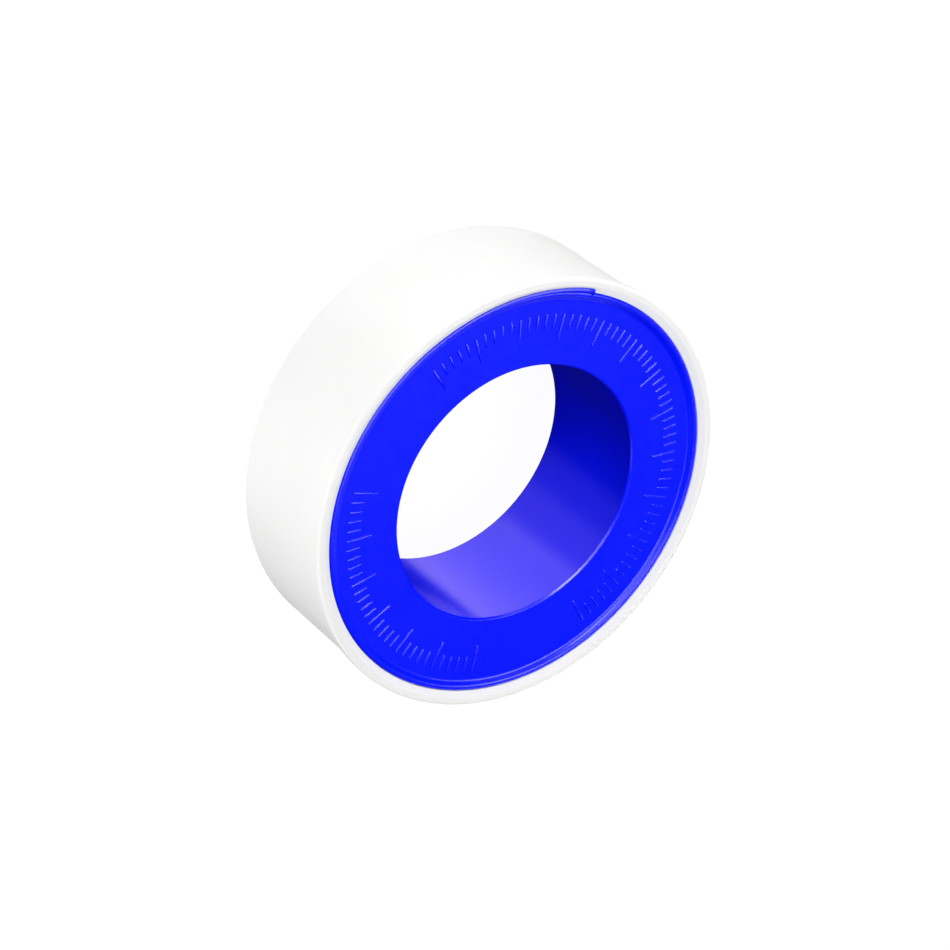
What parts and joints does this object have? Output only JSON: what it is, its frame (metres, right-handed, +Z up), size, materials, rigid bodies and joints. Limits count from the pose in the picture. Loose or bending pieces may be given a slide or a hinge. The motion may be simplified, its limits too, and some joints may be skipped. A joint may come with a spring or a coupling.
{
  "type": "thread seal tape roll",
  "caption": "Thread seal tape wound on a blue one-flange spool with a wide bore, held in a white cup-shaped cover in which it turns and from which it pulls straight out.",
  "frame": {"origin": "on the axis of the bore, midway along the cover", "axes": "+Z up along the bore, the flange faces up and the back of the cover lies on the table"},
  "size_m": [0.05, 0.05, 0.0159],
  "materials": {
    "cover": "satin moulded white",
    "spool": "glossy moulded blue",
    "tape": "waxy white film"
  },
  "bodies": {
    "cover": {"cover": "cover"},
    "tape_end": {"tape_end": "tape"},
    "spool": {"spool": "spool", "tape_winding": "tape"}
  },
  "joints": [
    {"name": "spool_pull", "type": "slide", "parent": "cover", "child": "tape_end", "axis": [0, 0, 1], "range_m": [0, 0.02]},
    {"name": "spool_spin", "type": "hinge", "parent": "tape_end", "child": "spool", "pos_m": [0, 0, 0], "axis": [0, 0, 1], "continuous": true}
  ]
}
